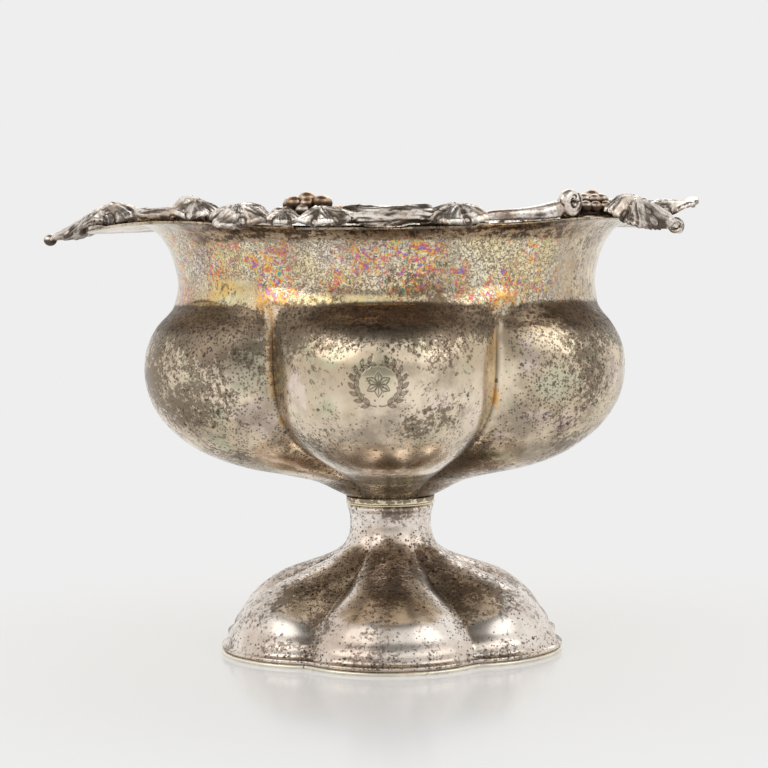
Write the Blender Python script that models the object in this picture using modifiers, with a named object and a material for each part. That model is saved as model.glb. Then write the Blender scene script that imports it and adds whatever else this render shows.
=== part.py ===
"""Footed punch bowl: a six-lobed bowl on a hollow lobed foot, with a cast grapevine border on its lip.

Metres, +Z up, front towards -Y. The origin is on the table under the middle of the bowl.
"""

import math

import bpy
from mathutils import Vector

MM = 0.001

# Sheet, gaps and the number of lobes
SHEET = 1.2 * MM
GAP = 0.3 * MM
LOBES = 6
SIDES_PER_LOBE = 8

# Foot
FOOT_RADIUS = 89.0 * MM
FOOT_GROOVE_RADIUS = 80.6 * MM
FOOT_HEIGHT = 74.0 * MM
WIRE_HEIGHT = 2.0 * MM
WIRE_WIDTH = 2.4 * MM
STEM_RADIUS = 20.6 * MM
COLLAR_WIDTH = 1.7 * MM
COLLAR_HEIGHT = 3.8 * MM

# Bowl
BELLY_RADIUS = 125.0 * MM
BELLY_GROOVE_RADIUS = 102.5 * MM
BELLY_HEIGHT = 97.0 * MM
NECK_RADIUS = 103.3 * MM
NECK_HEIGHT = 38.5 * MM
FLARE = 12.5 * MM
LIP_REACH = 32.0 * MM
LIP_DIP = 1.4 * MM

# Cast border
CAST = 1.3 * MM
CAST_GAP = 0.5 * MM
SEAT_FROM_LIP = 1.5 * MM
VINE_RADIUS = 3.9 * MM
TENDRIL_RADIUS = 4.6 * MM
TENDRIL_ROD = 2.4 * MM
BERRY_RADIUS = 4.6 * MM

# Roundness of a lobe's arc: 0 is a plain circle, and a higher share gives a fuller lobe
FOOT_LOBE = 0.40
BELLY_LOBE = 0.56

# The lip beyond the neck: how fast it turns over, then how steeply it falls and how that grows
TURN_OVER = 4.2 * MM
START_SLOPE = 1.12
FALL = 0.12
FALL_GROWTH = 1.1 / (1000 * MM)

LIP_RADIUS = NECK_RADIUS + FLARE
BOWL_BASE = FOOT_HEIGHT + GAP
SHOULDER = BOWL_BASE + BELLY_HEIGHT

# Foot section, from the edge of its flange up to the stem. Each row: share of the lobe's radius, share
# of the groove's radius, share of the height from the wire to the top of the stem.
FOOT_SECTION = (
    (1.000, 1.000, 0.004),
    (0.972, 0.968, 0.012),
    (0.962, 0.954, 0.060),
    (0.918, 0.893, 0.155),
    (0.868, 0.795, 0.260),
    (0.788, 0.650, 0.350),
    (0.688, 0.510, 0.425),
    (0.523, 0.433, 0.500),
)

# Stem section, above the foot's. Each row: the lobe's radius and the groove's as shares of the stem's,
# height as above.
STEM_SECTION = (
    (1.52, 1.28, 0.585),
    (1.22, 1.10, 0.643),
    (1.055, 1.02, 0.717),
    (1.00, 1.00, 0.820),
    (1.00, 1.00, 1.000),
)

# Belly section, from the seat on the collar up to the neck. Each row: share of the lobe's radius, its
# height as a share of the belly's, then the same two for the groove.
BELLY_SECTION = (
    (0.225, 0.030, 0.260, 0.036),
    (0.312, 0.084, 0.325, 0.085),
    (0.438, 0.127, 0.412, 0.130),
    (0.628, 0.182, 0.550, 0.200),
    (0.798, 0.275, 0.740, 0.290),
    (0.920, 0.404, 0.885, 0.400),
    (0.980, 0.533, 0.965, 0.520),
    (1.000, 0.677, 0.995, 0.665),
    (0.982, 0.800, 1.000, 0.790),
    (0.930, 0.902, 1.002, 0.885),
    (0.876, 0.960, 1.010, 0.940),
)

# Neck section, from the shoulder up. Each row: share of the flare that the neck's radius has gained,
# height as a share of the neck's height.
NECK_SECTION = (
    (0.110, 0.000),
    (0.000, 0.240),
    (0.110, 0.455),
    (0.310, 0.660),
    (0.590, 0.815),
    (0.900, 0.920),
)


def clear_scene():
    for old in list(bpy.data.objects):
        bpy.data.objects.remove(old, do_unlink=True)


def material(name, colour, roughness):
    made = bpy.data.materials.new(name)
    made.use_nodes = True
    shader = made.node_tree.nodes["Principled BSDF"]
    shader.inputs["Base Color"].default_value = (*colour, 1.0)
    shader.inputs["Metallic"].default_value = 1.0
    shader.inputs["Roughness"].default_value = roughness
    return made


def add_object(name, data, collection, finish):
    made = bpy.data.objects.new(name, data)
    made.data.materials.append(finish)
    collection.objects.link(made)
    return made


def add_mesh(name, points, faces, collection, finish):
    mesh = bpy.data.meshes.new(name)
    mesh.from_pydata(points, [], faces)
    mesh.validate()
    mesh.shade_smooth()
    mesh.set_sharp_from_angle(angle=math.radians(40))
    return add_object(name, mesh, collection, finish)


def thicken(made, thickness):
    """Adds the sheet's thickness on the inner side of the surface."""
    shell = made.modifiers.new("Sheet", "SOLIDIFY")
    shell.thickness = thickness
    shell.offset = -1.0
    shell.use_even_offset = True


def arc_share(angle, roundness):
    """1 on a lobe's crown and 0 in a groove, along the circular arc between them."""
    pitch = 2 * math.pi / LOBES

    def radius(off):
        across = roundness * math.sin(off)
        return roundness * math.cos(off) + math.sqrt((1 - roundness) ** 2 - across**2)

    off = (angle + pitch / 2) % pitch - pitch / 2
    groove = radius(pitch / 2)
    return (radius(off) - groove) / (1 - groove)


def column_angles():
    sides = LOBES * SIDES_PER_LOBE
    return [2 * math.pi * k / sides for k in range(sides)]


def around(radius, angle, height):
    """A point at this angle, counted from the front towards +X."""
    return Vector((radius * math.sin(angle), -radius * math.cos(angle), height))


def ring_faces(rows, sides):
    """Quads between rows of points, each row running once round."""
    return [
        (r * sides + k, r * sides + (k + 1) % sides, (r + 1) * sides + (k + 1) % sides, (r + 1) * sides + k)
        for r in range(rows - 1)
        for k in range(sides)
    ]


def lip_dip(angle):
    """How far the lip is bent down here: most at the front and back, nothing at the two ends."""
    return LIP_DIP * math.cos(angle) ** 2


def lip_edge(angle):
    """Radius of the lip's edge: round at the front and back, drawn out into a tongue at each end."""
    return LIP_RADIUS + LIP_REACH * math.sin(angle) ** 6


def lip_start():
    """Radius and height where the neck's section ends and the lip begins."""
    share, height = NECK_SECTION[-1]
    return NECK_RADIUS + share * FLARE, SHOULDER + height * NECK_HEIGHT


def lip_surface(angle, radius):
    """Height of the lip's under surface: it turns over outside the neck and droops from there."""
    start, level = lip_start()
    out = radius - start
    rise = START_SLOPE * TURN_OVER * (1 - math.exp(-out / TURN_OVER))
    return level + rise - FALL * out - FALL_GROWTH * out**2 - lip_dip(angle)


def seat(angle, radius):
    """Height that the border's castings stand at: just over the lip, and level inside its edge."""
    on = max(radius, LIP_RADIUS + SEAT_FROM_LIP)
    out = on - lip_start()[0]
    slope = START_SLOPE * math.exp(-out / TURN_OVER) - FALL - 2 * FALL_GROWTH * out
    return lip_surface(angle, on) + SHEET * math.sqrt(1 + slope**2) + CAST_GAP


def foot_point(row, angle):
    """A point of the foot, from a row of its lobe's radius, its groove's radius and its height."""
    lobe, groove, height = row
    share = arc_share(angle, FOOT_LOBE)
    radius = groove + (lobe - groove) * share
    return around(radius, angle, height)


def make_pedestal(collection, finish):
    """The hollow foot: lobes that fade into a round stem, and a narrow flange over the wire."""
    bottom = WIRE_HEIGHT + GAP + SHEET
    rise = FOOT_HEIGHT - bottom
    rows = [
        (a * FOOT_RADIUS, b * FOOT_GROOVE_RADIUS, bottom + h * rise) for a, b, h in FOOT_SECTION
    ]
    rows += [(a * STEM_RADIUS, b * STEM_RADIUS, bottom + h * rise) for a, b, h in STEM_SECTION]
    angles = column_angles()
    points = [foot_point(row, angle) for row in rows for angle in angles]
    made = add_mesh("foot_pedestal", points, ring_faces(len(rows), len(angles)), collection, finish)
    thicken(made, SHEET)


def make_base_wire(collection, finish):
    """The lobed wire under the foot's flange, flat underneath."""
    half = WIRE_WIDTH / 2
    section = [
        (-half, 0.0),
        (half * 0.7, 0.0),
        (half, WIRE_HEIGHT * 0.5),
        (half * 0.7, WIRE_HEIGHT),
        (-half, WIRE_HEIGHT),
    ]
    angles = column_angles()
    centre = (FOOT_RADIUS - half * 0.8, FOOT_GROOVE_RADIUS - half * 0.8)
    rows = section + section[:1]
    points = [
        foot_point((centre[0] + out, centre[1] + out, height), angle)
        for out, height in rows[:-1]
        for angle in angles
    ]
    sides, count = len(angles), len(points)
    faces = [tuple(i % count for i in face) for face in ring_faces(len(rows), sides)]
    add_mesh("foot_base_wire", points, faces, collection, finish)


def make_collar(collection, finish):
    """The ring round the top of the stem: a turned band with a bead along its lower edge."""
    inner = STEM_RADIUS + GAP
    outer = STEM_RADIUS + COLLAR_WIDTH
    low, top = FOOT_HEIGHT - COLLAR_HEIGHT, FOOT_HEIGHT
    profile = [
        (inner, top),
        (outer, top),
        (outer, low + 0.30 * COLLAR_HEIGHT),
        (outer - 0.25 * COLLAR_WIDTH, low),
        (inner, low),
    ]
    count = len(profile)
    mesh = bpy.data.meshes.new("foot_collar")
    mesh.from_pydata(
        [(radius, 0.0, height) for radius, height in profile],
        [(i, (i + 1) % count) for i in range(count)],
        [],
    )
    made = add_object("foot_collar", mesh, collection, finish)
    turn = made.modifiers.new("Turn", "SCREW")
    turn.steps = turn.render_steps = LOBES * SIDES_PER_LOBE
    turn.use_merge_vertices = True
    turn.merge_threshold = 0.01 * MM
    turn.use_smooth_shade = False


def bowl_rows():
    """Rows of the bowl from its seat to the top of the neck: lobe radius, height, groove radius, height."""
    seat_radius = STEM_RADIUS + COLLAR_WIDTH - 0.5 * MM
    rows = [(seat_radius, BOWL_BASE, seat_radius, BOWL_BASE)]
    rows += [
        (
            a * BELLY_RADIUS,
            BOWL_BASE + h * BELLY_HEIGHT,
            b * BELLY_GROOVE_RADIUS,
            BOWL_BASE + k * BELLY_HEIGHT,
        )
        for a, h, b, k in BELLY_SECTION
    ]
    for share, height in NECK_SECTION:
        radius, level = NECK_RADIUS + share * FLARE, SHOULDER + height * NECK_HEIGHT
        rows.append((radius, level, radius, level))
    return rows


def make_bowl(collection, finish):
    """The bowl: lobed belly, round neck and a lip with a tongue at each end, all one sheet."""
    angles = column_angles()
    points = []
    rows = bowl_rows()
    for lobe_radius, lobe_height, groove_radius, groove_height in rows:
        for angle in angles:
            share = arc_share(angle, BELLY_LOBE)
            height = groove_height + (lobe_height - groove_height) * share
            risen = max(0.0, (height - SHOULDER) / NECK_HEIGHT)
            dip = lip_dip(angle) * min(1.0, risen) ** 2
            points.append(
                around(groove_radius + (lobe_radius - groove_radius) * share, angle, height - dip)
            )
    start = lip_start()[0]
    lip_steps = ((0.25, 0.06), (0.6, 0.16), (1.0, 0.36), (1.0, 0.64), (1.0, 1.0))
    for plain, drawn in lip_steps:
        for angle in angles:
            tongue = lip_edge(angle) - LIP_RADIUS
            radius = start + plain * (LIP_RADIUS - start) + drawn * tongue
            points.append(around(radius, angle, lip_surface(angle, radius)))
    sides = len(angles)
    faces = ring_faces(len(rows) + len(lip_steps), sides)
    points.append(Vector((0.0, 0.0, BOWL_BASE)))
    faces += [((k + 1) % sides, k, len(points) - 1) for k in range(sides)]
    made = add_mesh("bowl_body", points, faces, collection, finish)
    thicken(made, SHEET)


def turns_inward(spokes):
    """The spokes' directions in a casting's own plan, in the order that faces its top upwards."""
    return [-2 * math.pi * spoke / spokes for spoke in range(spokes)]


def leaf_outline(turn):
    """A grape leaf's outline: five points, the longest at its tip, and a notch at its stalk."""
    points = 1 - 0.11 * (1 - math.cos(5 * turn))
    tip = 0.16 * max(0.0, math.cos(turn)) ** 5
    return (points + tip) / 1.16


def make_leaf(collection, finish, name, centre, span, inner, outer, heading, dome):
    """A leaf cast to the lip's shape. centre and span are degrees round the lip; inner and outer are
    distances from the lip's radius; heading is its tip's direction, 0 along the lip and 90 outwards."""
    middle = math.radians(centre)
    half_angle = math.radians(span / 2)
    half_width = (outer - inner) / 2
    spokes, rings = 20, 3
    points = []

    def place(turn, share):
        size = leaf_outline(turn) * share
        way = turn + math.radians(heading)
        angle = middle + half_angle * size * math.cos(way)
        radius = LIP_RADIUS + (inner + outer) / 2 + half_width * size * math.sin(way)
        ruffle = 0.18 * dome * share**3 * (1 + math.cos(5 * turn))
        height = seat(angle, radius) + CAST + dome * (1 - share**2) ** 0.8 + ruffle
        return around(radius, angle, height)

    for ring in range(rings, 0, -1):
        points += [place(turn, ring / rings) for turn in turns_inward(spokes)]
    points.append(place(0.0, 0.0))
    faces = ring_faces(rings, spokes)
    first = (rings - 1) * spokes
    faces += [(first + k, first + (k + 1) % spokes, len(points) - 1) for k in range(spokes)]
    made = add_mesh(name, points, faces, collection, finish)
    thicken(made, CAST)
    made.modifiers["Sheet"].use_even_offset = False


def berry_places(half_length, half_width):
    """Centres of a cluster's berries, in rows that narrow towards one end."""
    step = 1.5 * BERRY_RADIUS
    rows = max(2, round(2 * half_length / step))
    found = []
    for row in range(rows):
        along = -half_length + (row + 0.5) * 2 * half_length / rows
        room = half_width * (1.0 - 0.25 * (row / rows))
        count = max(1, round(2 * room / step))
        for k in range(count):
            across = (k + 0.5 - count / 2) * 2 * room / count
            found.append((along, across))
    return found


def make_grapes(collection, finish, name, centre, span, inner, outer, height):
    """A cluster of grapes: berries heaped on a mound that stands level on the lip."""
    middle = math.radians(centre)
    mean = LIP_RADIUS + (inner + outer) / 2
    half_length = math.radians(span / 2) * mean
    half_width = (outer - inner) / 2
    berries = berry_places(half_length * 0.85, half_width * 0.85)
    floor = max(
        seat(middle + turn * math.radians(span / 2), mean + way * half_width)
        for turn in (-1, 0, 1)
        for way in (-1, 0, 1)
    )
    spokes, rings = 24, 5
    points = []

    def place(turn, share, lifted):
        along = half_length * share * math.cos(turn)
        across = half_width * share * math.sin(turn)
        mound = (height - BERRY_RADIUS) * (1 - 0.75 * share**2)
        level = max(
            math.sqrt(max(0.0, BERRY_RADIUS**2 - (along - a) ** 2 - (across - b) ** 2))
            for a, b in berries
        )
        top = max(CAST, mound + level * (1 - 0.6 * share**2)) if lifted else 0.0
        return around(mean + across, middle + along / mean, floor + top)

    for ring in range(rings, 0, -1):
        points += [place(turn, ring / rings, True) for turn in turns_inward(spokes)]
    faces = ring_faces(rings, spokes)
    peak = len(points)
    points.append(place(0.0, 0.0, True))
    first = (rings - 1) * spokes
    faces += [(first + k, first + (k + 1) % spokes, peak) for k in range(spokes)]
    low = len(points)
    points += [place(turn, 1.0, False) for turn in turns_inward(spokes)]
    faces += [(low + k, low + (k + 1) % spokes, (k + 1) % spokes, k) for k in range(spokes)]
    faces.append(tuple(low + k for k in reversed(range(spokes))))
    add_mesh(name, points, faces, collection, finish)


def make_vine(collection, finish, name, start, end, first, last, radius):
    """A vine rod laid along the lip from one angle to another; first and last are its distances from
    the lip's radius there."""
    points = []
    steps = 8
    for step in range(steps + 1):
        t = step / steps
        angle = math.radians(start + (end - start) * t)
        out = first + (last - first) * t
        sway = 0.12 * radius * math.sin(2 * math.pi * t)
        around_lip = LIP_RADIUS + out + sway
        points.append(around(around_lip, angle, seat(angle, around_lip + radius) + radius + GAP))
    curve = bpy.data.curves.new(name, "CURVE")
    curve.dimensions = "3D"
    curve.bevel_depth = radius
    curve.bevel_resolution = 1
    curve.use_fill_caps = True
    spline = curve.splines.new("POLY")
    spline.points.add(len(points) - 1)
    for knot, place in zip(spline.points, points):
        knot.co = (*place, 1.0)
        knot.radius = 1.0
    add_object(name, curve, collection, finish)


def make_tendril(collection, finish, name, centre, out):
    """The curled end of a vine: a ring of rod that stands across the lip."""
    angle = math.radians(centre)
    outside = TENDRIL_RADIUS + TENDRIL_ROD
    floor = max(
        seat(angle + turn * outside / LIP_RADIUS, LIP_RADIUS + out + side * TENDRIL_ROD)
        for turn in (-1, 0, 1)
        for side in (-1, 1)
    )
    place = around(LIP_RADIUS + out, angle, floor + GAP + outside)
    bpy.ops.mesh.primitive_torus_add(
        major_radius=TENDRIL_RADIUS,
        minor_radius=TENDRIL_ROD,
        major_segments=14,
        minor_segments=7,
        location=place,
        rotation=(math.pi / 2, 0.0, angle),
    )
    made = bpy.context.active_object
    made.name = made.data.name = name
    made.data.shade_smooth()
    made.data.materials.append(finish)
    for old in list(made.users_collection):
        old.objects.unlink(made)
    collection.objects.link(made)


def make_border(collection, leaf, grape, vine):
    """The castings round the lip, from the front round by the right."""
    thin_vine = 0.85 * VINE_RADIUS
    vines = (
        ("vine_front", -7.6, 8.2, -3.4, -3.4, VINE_RADIUS),
        ("vine_front_right", 24.4, 40.8, -3.2, -1.6, thin_vine),
        ("vine_right_back", 100.5, 120.4, -3.0, -3.0, thin_vine),
        ("vine_back", 172.4, 188.2, -3.4, -3.4, VINE_RADIUS),
        ("vine_back_left", 204.4, 220.8, -3.2, -1.6, thin_vine),
        ("vine_left_back", 258.2, 285.8, -2.5, -2.5, thin_vine),
        ("vine_left", 287.8, 300.4, 6.0, 0.5, thin_vine),
    )
    for name, start, end, first, last, radius in vines:
        first, last = first * MM, last * MM
        make_vine(collection, vine, name, start, end, first, last, radius)

    make_tendril(collection, vine, "tendril_right", 45.3, 0.5 * MM)
    make_tendril(collection, vine, "tendril_back_left", 225.3, 0.5 * MM)

    leaves = (
        ("leaf_front_right", 16.2, 15.4, -10.0, 7.5, -35.0, 7.0),
        ("leaf_right_front", 74.5, 25.0, 2.5, 40.0, 62.0, 8.0),
        ("leaf_right_back", 104.0, 26.0, 8.0, 61.0, 80.0, 8.0),
        ("leaf_back_shoulder", 129.6, 16.6, -10.0, 8.0, 180.0, 10.0),
        ("leaf_back_right", 145.4, 18.4, -10.0, 9.0, 100.0, 9.0),
        ("leaf_back_curled", 156.8, 8.6, -4.0, 5.5, 90.0, 4.5),
        ("leaf_back_folded", 166.0, 10.6, -4.0, 5.5, 0.0, 5.0),
        ("leaf_back_left", 196.2, 15.4, -10.0, 7.5, -35.0, 7.0),
        ("leaf_left_back", 249.8, 15.6, -8.0, 13.0, 0.0, 9.0),
        ("leaf_left_end", 270.0, 34.0, 3.0, 56.0, 90.0, 8.0),
        ("leaf_left_shoulder", 309.6, 16.6, -10.0, 8.0, 180.0, 10.0),
        ("leaf_front_left", 325.4, 18.4, -10.0, 9.0, 100.0, 9.0),
        ("leaf_front_curled", 336.8, 8.6, -4.0, 5.5, 90.0, 4.5),
        ("leaf_front_folded", 346.0, 10.6, -4.0, 5.5, 0.0, 5.0),
    )
    for name, centre, span, inner, outer, heading, dome in leaves:
        inner, outer, dome = inner * MM, outer * MM, dome * MM
        make_leaf(collection, leaf, name, centre, span, inner, outer, heading, dome)

    clusters = (
        ("grapes_right", 56.2, 12.4, -10.0, 7.0, 12.5),
        ("grapes_right_end", 90.2, 17.0, -10.0, 1.2, 11.0),
        ("grapes_back", 160.8, 16.4, -16.0, -4.4, 13.5),
        ("grapes_back_left", 236.2, 12.4, -10.0, 7.0, 12.5),
        ("grapes_front_left", 340.8, 16.4, -16.0, -4.4, 13.5),
    )
    for name, centre, span, inner, outer, height in clusters:
        inner, outer, height = inner * MM, outer * MM, height * MM
        make_grapes(collection, grape, name, centre, span, inner, outer, height)


def main():
    clear_scene()
    collection = bpy.data.collections.new("punch_bowl")
    bpy.context.scene.collection.children.link(collection)
    make_base_wire(collection, material("wire_silver", (0.86, 0.82, 0.72), 0.30))
    make_pedestal(collection, material("foot_silver", (0.66, 0.58, 0.52), 0.32))
    make_collar(collection, material("collar_silver", (0.78, 0.71, 0.58), 0.30))
    make_bowl(collection, material("bowl_silver", (0.62, 0.57, 0.47), 0.28))
    make_border(
        collection,
        material("leaf_silver", (0.48, 0.43, 0.38), 0.38),
        material("grape_silver", (0.52, 0.44, 0.36), 0.38),
        material("vine_silver", (0.50, 0.46, 0.42), 0.38),
    )


main()
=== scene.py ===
"""Looks of the footed punch bowl: tarnished silver with a cast grapevine border, on a pale studio floor."""

from math import acos, atan2, cos, degrees, pi, radians, sin

import bpy
import numpy as np
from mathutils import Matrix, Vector, noise


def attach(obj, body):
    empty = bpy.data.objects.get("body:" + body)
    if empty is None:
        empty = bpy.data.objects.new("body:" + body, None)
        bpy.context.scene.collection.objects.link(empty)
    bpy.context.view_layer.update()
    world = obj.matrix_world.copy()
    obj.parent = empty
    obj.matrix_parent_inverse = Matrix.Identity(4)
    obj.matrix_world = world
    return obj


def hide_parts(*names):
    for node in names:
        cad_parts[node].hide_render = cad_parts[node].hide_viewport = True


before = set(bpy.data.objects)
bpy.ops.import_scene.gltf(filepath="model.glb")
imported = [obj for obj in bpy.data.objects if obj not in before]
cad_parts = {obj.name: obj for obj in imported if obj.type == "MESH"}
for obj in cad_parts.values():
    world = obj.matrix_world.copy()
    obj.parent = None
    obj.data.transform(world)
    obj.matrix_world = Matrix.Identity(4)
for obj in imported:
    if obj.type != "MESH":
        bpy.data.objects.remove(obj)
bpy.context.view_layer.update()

MM = 0.001
FULL = 2 * pi

# The sheet work, as in the CAD part
SHEET = 1.2 * MM
GAP = 0.3 * MM
LOBES = 6
FOOT_RADIUS = 89.0 * MM
FOOT_GROOVE_RADIUS = 80.6 * MM
FOOT_HEIGHT = 74.0 * MM
WIRE_HEIGHT = 2.0 * MM
WIRE_WIDTH = 2.4 * MM
STEM_RADIUS = 20.6 * MM
COLLAR_WIDTH = 1.7 * MM
COLLAR_HEIGHT = 3.8 * MM
BELLY_RADIUS = 125.0 * MM
BELLY_GROOVE_RADIUS = 102.5 * MM
BELLY_HEIGHT = 97.0 * MM
NECK_RADIUS = 103.3 * MM
NECK_HEIGHT = 38.5 * MM
FLARE = 12.5 * MM
LIP_REACH = 32.0 * MM
LIP_DIP = 2.9 * MM
FOOT_LOBE = 0.40
BELLY_LOBE = 0.56
TURN_OVER = 4.2 * MM
START_SLOPE = 1.12
FALL = 0.12
FALL_GROWTH = 1.1 / (1000 * MM)
LIP_RADIUS = NECK_RADIUS + FLARE
BOWL_BASE = FOOT_HEIGHT + GAP
SHOULDER = BOWL_BASE + BELLY_HEIGHT

# The castings on the lip
CAST = 1.3 * MM
CAST_GAP = 0.5 * MM
SEAT_FROM_LIP = 1.5 * MM
VINE_RADIUS = 3.9 * MM
BERRY_RADIUS = 4.6 * MM

# Lobe radius, groove radius and height, as shares of the foot's
FOOT_SECTION = (
    (1.000, 1.000, 0.004),
    (0.986, 0.984, 0.007),
    (0.972, 0.968, 0.014),
    (0.965, 0.958, 0.030),
    (0.962, 0.954, 0.060),
    (0.918, 0.893, 0.155),
    (0.868, 0.795, 0.260),
    (0.788, 0.650, 0.350),
    (0.688, 0.510, 0.425),
    (0.523, 0.433, 0.500),
)
STEM_SECTION = (
    (1.52, 1.28, 0.585),
    (1.22, 1.10, 0.643),
    (1.055, 1.02, 0.717),
    (0.98, 0.98, 0.820),
    (1.005, 1.005, 0.890),
    (1.045, 1.045, 0.934),
    (1.00, 1.00, 0.948),
    (1.00, 1.00, 1.000),
)

# Lobe radius and height, then groove radius and height, as shares of the belly's
BELLY_SECTION = (
    (0.225, 0.030, 0.260, 0.036),
    (0.312, 0.084, 0.325, 0.085),
    (0.438, 0.127, 0.412, 0.130),
    (0.628, 0.182, 0.550, 0.200),
    (0.798, 0.275, 0.740, 0.290),
    (0.920, 0.404, 0.885, 0.400),
    (0.980, 0.533, 0.965, 0.520),
    (1.000, 0.677, 0.995, 0.665),
    (0.982, 0.800, 1.000, 0.790),
    (0.930, 0.902, 1.002, 0.885),
    (0.876, 0.960, 1.010, 0.940),
)
NECK_SECTION = (
    (0.110, 0.000),
    (0.000, 0.240),
    (0.110, 0.455),
    (0.310, 0.660),
    (0.590, 0.815),
    (0.900, 0.920),
)

# The bowl's body leans off the foot's axis
BELLY_LEAN = -2.1 * MM

# Where the painted dark bands (reflection and shade) on the lobe tops begin and end, how far they arch
# up, and where the painted dark reflection under the lip begins
BAND_FADE = (155.5 * MM, 161.0 * MM)
BAND_TOP = 165.0 * MM
BAND_ARCH = 6.2 * MM
UNDER_LIP_FADE = (198.6 * MM, 200.6 * MM)

# The engraved ornament on the front lobe
ORNAMENT_X = -2.8 * MM
ORNAMENT_Z = 136.3 * MM
ORNAMENT_HALF = 13.4 * MM
ENGRAVED_DEPTH = 0.16 * MM
ENGRAVED_WIDTH = 0.24 * MM

# Camera, in the object's frame
CAMERA_PLACE = (-0.002, -0.975, 0.1825)
CAMERA_LENS = 91.5
CAMERA_DOWN = 3.1
CAMERA_ROLL = 0.6

# The even white behind the object, which the floor fades into
BACKDROP = (0.855, 0.855, 0.855, 1.0)


# ---- Camera, light and floor ----


def new_object(name, data):
    made = bpy.data.objects.new(name, data)
    bpy.context.scene.collection.objects.link(made)
    return made


def add_camera():
    data = bpy.data.cameras.new("camera")
    data.lens = CAMERA_LENS
    data.sensor_width = 36.0
    made = new_object("camera", data)
    made.location = CAMERA_PLACE
    made.rotation_euler = (radians(90 - CAMERA_DOWN), radians(CAMERA_ROLL), 0.0)
    bpy.context.scene.camera = made
    bpy.context.scene.view_settings.view_transform = "Standard"


class Nodes:
    """A short way to write node trees: most calls add a node and return its output."""

    def __init__(self, tree):
        self.tree = tree

    def put(self, socket, value):
        if isinstance(value, bpy.types.NodeSocket):
            self.tree.links.new(value, socket)
        else:
            socket.default_value = value

    def new(self, kind, *values, **settings):
        """A node with these settings and with these values or links in its first inputs."""
        node = self.tree.nodes.new("ShaderNode" + kind)
        for name, value in settings.items():
            setattr(node, name, value)
        for socket, value in zip(node.inputs, values):
            self.put(socket, value)
        return node

    def add(self, kind, output=0, **inputs):
        node = self.new(kind)
        for name, value in inputs.items():
            self.put(node.inputs[name], value)
        return node.outputs[output]

    def math(self, operation, a, b=0.0):
        return self.new("Math", a, b, operation=operation).outputs[0]

    def chain(self, operation, values):
        found = values[0]
        for value in values[1:]:
            found = self.math(operation, found, value)
        return found

    def times(self, *values):
        return self.chain("MULTIPLY", values)

    def plus(self, *values):
        return self.chain("ADD", values)

    def minus(self, *values):
        return self.chain("SUBTRACT", values)

    def between(self, value, low, high, first=0.0, last=1.0):
        """A smooth step from first at low to last at high."""
        node = self.new("MapRange", value, low, high, first, last, interpolation_type="SMOOTHSTEP")
        return node.outputs[0]

    def mix(self, share, a, b):
        node = self.new("Mix", share, data_type="RGBA")
        for socket, colour in zip(node.inputs[6:8], (a, b)):
            self.put(socket, colour if isinstance(colour, bpy.types.NodeSocket) else (*colour, 1.0))
        return node.outputs[2]

    def place(self, squash=1, shift=(0, 0, 0)):
        where = self.add("TexCoord", output="Object")
        return self.add("Mapping", Vector=where, Scale=(1, 1, squash), Location=shift)

    def noise(self, scale, detail=2.0, roughness=0.5, squash=1, shift=(0, 0, 0), twist=0.0):
        return self.add(
            "TexNoise",
            Vector=self.place(squash, shift),
            Scale=scale,
            Detail=detail,
            Roughness=roughness,
            Distortion=twist,
        )

    def dots(self, scale, density, size, shift=(0, 0, 0), squash=1):
        """Irregular dots: density is the share of the cells that hold one."""
        place = self.place(squash, shift)
        wander = self.add("TexNoise", output="Color", Vector=place, Scale=2.2 * scale)
        moved = self.new("VectorMath", wander, (0.9 / scale,) * 3, place, operation="MULTIPLY_ADD")
        cells = self.new("TexVoronoi", moved.outputs[0])
        self.put(cells.inputs["Scale"], scale)
        near = self.between(cells.outputs["Distance"], size, size - 0.14)
        draw = self.new("SeparateColor", cells.outputs["Color"]).outputs[0]
        chosen = self.between(self.minus(draw, density), 0.04, -0.04)
        return self.times(near, chosen)

    def mark(self, name):
        return self.new("Attribute", attribute_name=name).outputs["Fac"]

    def ramp(self, value, stops):
        node = self.new("ValToRGB", value)
        elements = node.color_ramp.elements
        while len(elements) < len(stops):
            elements.new(0.5)
        for element, (place, colour) in zip(elements, stops):
            element.position = place
            element.color = (*colour, 1.0)
        return node.outputs[0]

    def blend(self, share, first, second):
        """A mix of two shaders."""
        return self.new("MixShader", share, first, second).outputs[0]


def add_world():
    """A pale room: white at the sides, dimmer behind the camera, dark overhead."""
    world = bpy.data.worlds.new("studio")
    bpy.context.scene.world = world
    world.use_nodes = True
    tree = world.node_tree
    tree.nodes.clear()
    n = Nodes(tree)
    way = n.add("TexCoord", output="Generated")
    x, y, z = n.new("SeparateXYZ", way).outputs
    front = n.between(y, -0.70, -0.98)
    level = n.between(z, 0.36, 0.14)
    dim = n.times(front, level, 0.50)
    roof = n.between(z, 0.70, 0.92, 0.0, 0.86)
    side = n.between(n.math("ABSOLUTE", x), 0.34, 0.60)
    boxes = n.times(side, n.between(z, 0.15, 0.3), n.between(z, 0.75, 0.6), n.between(y, 0.0, -0.3), 0.30)
    glow = n.plus(n.minus(0.84, n.times(dim, 0.80)), boxes)
    glow = n.times(glow, n.minus(1.0, roof))
    seen = n.add("LightPath", output="Is Camera Ray")
    room = n.add("Background", Color=(1.0, 0.985, 0.96, 1.0), Strength=glow)
    plain = n.add("Background", Color=BACKDROP, Strength=1.0)
    n.new("OutputWorld", n.blend(seen, room, plain))


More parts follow.
